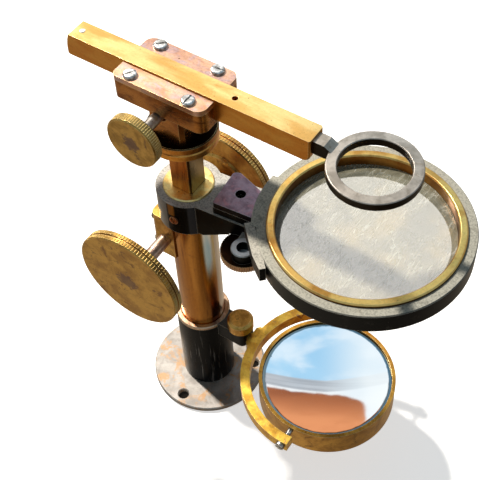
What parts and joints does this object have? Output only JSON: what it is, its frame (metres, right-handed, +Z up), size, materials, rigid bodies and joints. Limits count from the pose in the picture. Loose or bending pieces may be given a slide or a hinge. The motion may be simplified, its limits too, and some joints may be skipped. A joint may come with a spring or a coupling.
{
  "type": "dissecting microscope",
  "caption": "Brass pillar dissecting microscope: rack-focused swivelling lens arm with an empty lens ring, round glass stage on a collar arm, and a hollow mirror in a fork.",
  "frame": {"origin": "centre of the flange's underside, on the pillar axis", "axes": "+Z up the pillar, +X along the lens bar towards the lens ring, +Y towards the back focus knob"},
  "size_m": [0.1494, 0.0792, 0.1772],
  "materials": {
    "flange_metal": "worn, greyed brass",
    "black_lacquer": "worn gloss black lacquer",
    "worn_rim": "rubbed brass edge",
    "pillar_brass": "tarnished, drawn",
    "rail_bronze": "pinkish, tarnished",
    "hidden_brass": "plain turned",
    "housing_brass": "aged",
    "screw_steel": "turned, lightly worn",
    "grey_lacquer": "worn dark lacquer",
    "dark_brass": "dark, tarnished",
    "tail_bronze": "oxidised, purplish",
    "bright_brass": "bright, stained",
    "clear_glass": "clear, lightly scratched",
    "bar_bronze": "dark drawn bar",
    "disc_bronze": "turned, tarnished",
    "pin_steel": "bright",
    "blued_steel": "dark, oiled",
    "knob_brass": "turned, spotted",
    "shaft_bronze": "turned, pinkish",
    "mirror_brass": "aged, turned",
    "silvered_glass": "silvered"
  },
  "bodies": {
    "stand": {"base_flange": "flange_metal", "pillar_socket": "black_lacquer", "socket_rim": "worn_rim", "pillar_tube": "pillar_brass", "pillar_cap": "rail_bronze", "lower_guide": "hidden_brass", "pinion_housing": "housing_brass", "housing_screws": "screw_steel", "collar_arm": "grey_lacquer", "collar_screw": "screw_steel", "stage_ring": "grey_lacquer", "stage_tail": "tail_bronze", "stage_side_bar": "grey_lacquer", "stage_inner_ring": "bright_brass", "stage_glass": "clear_glass", "mirror_bracket": "black_lacquer", "clamp_screw": "dark_brass"},
    "focus_carriage": {"focus_bar": "bar_bronze", "lower_disc": "disc_bronze", "swivel_stud": "screw_steel"},
    "focus_drive": {"focus_pinion": "shaft_bronze", "focus_knob_front": "knob_brass", "focus_knob_back": "knob_brass"},
    "head": {"upper_disc": "disc_bronze", "head_block": "dark_brass", "front_rail": "rail_bronze", "back_rail": "rail_bronze", "rail_screws": "screw_steel"},
    "lens_arm": {"lens_bar": "bright_brass", "stop_pin": "pin_steel", "lens_holder": "blued_steel"},
    "arm_drive": {"arm_pinion": "pin_steel", "arm_knob": "knob_brass"},
    "nut": {"socket_nut": "dark_brass"},
    "fork": {"mirror_fork": "mirror_brass", "pivot_screws": "screw_steel"},
    "mirror": {"mirror_cell": "mirror_brass", "mirror_glass": "silvered_glass"}
  },
  "joints": [
    {"name": "focus_slide", "type": "slide", "parent": "stand", "child": "focus_carriage", "axis": [0, 0, 1], "range_m": [-0.022, 0.012]},
    {"name": "focus_turn", "type": "hinge", "parent": "stand", "child": "focus_drive", "pos_m": [-0.00715, 0, 0.0954], "axis": [0, 1, 0], "range_deg": [-200, 364]},
    {"name": "head_swivel", "type": "hinge", "parent": "focus_carriage", "child": "head", "pos_m": [0, 0, 0.1505], "axis": [0, 0, 1], "continuous": true},
    {"name": "arm_slide", "type": "slide", "parent": "head", "child": "lens_arm", "axis": [1, 0, 0], "range_m": [-0.03, 0.019]},
    {"name": "arm_turn", "type": "hinge", "parent": "head", "child": "arm_drive", "pos_m": [-0.0014, 0, 0.16445], "axis": [0, 1, 0], "range_deg": [-495, 315]},
    {"name": "nut_turn", "type": "hinge", "parent": "stand", "child": "nut", "pos_m": [0.03067, -0.01021, 0.115], "axis": [0, 0, 1], "continuous": true},
    {"name": "mirror_swivel", "type": "hinge", "parent": "stand", "child": "fork", "pos_m": [0.0235, 0, 0.0406], "axis": [1, 0, 0], "range_deg": [-90, 90]},
    {"name": "mirror_tilt", "type": "hinge", "parent": "fork", "child": "mirror", "pos_m": [0.0606, 0, 0.0406], "axis": [0, 1, 0], "continuous": true}
  ],
  "couplings": [
    {"joint": "focus_turn", "follows": "focus_slide", "rad_per_m": -285.71},
    {"joint": "arm_turn", "follows": "arm_slide", "rad_per_m": 285.71}
  ]
}
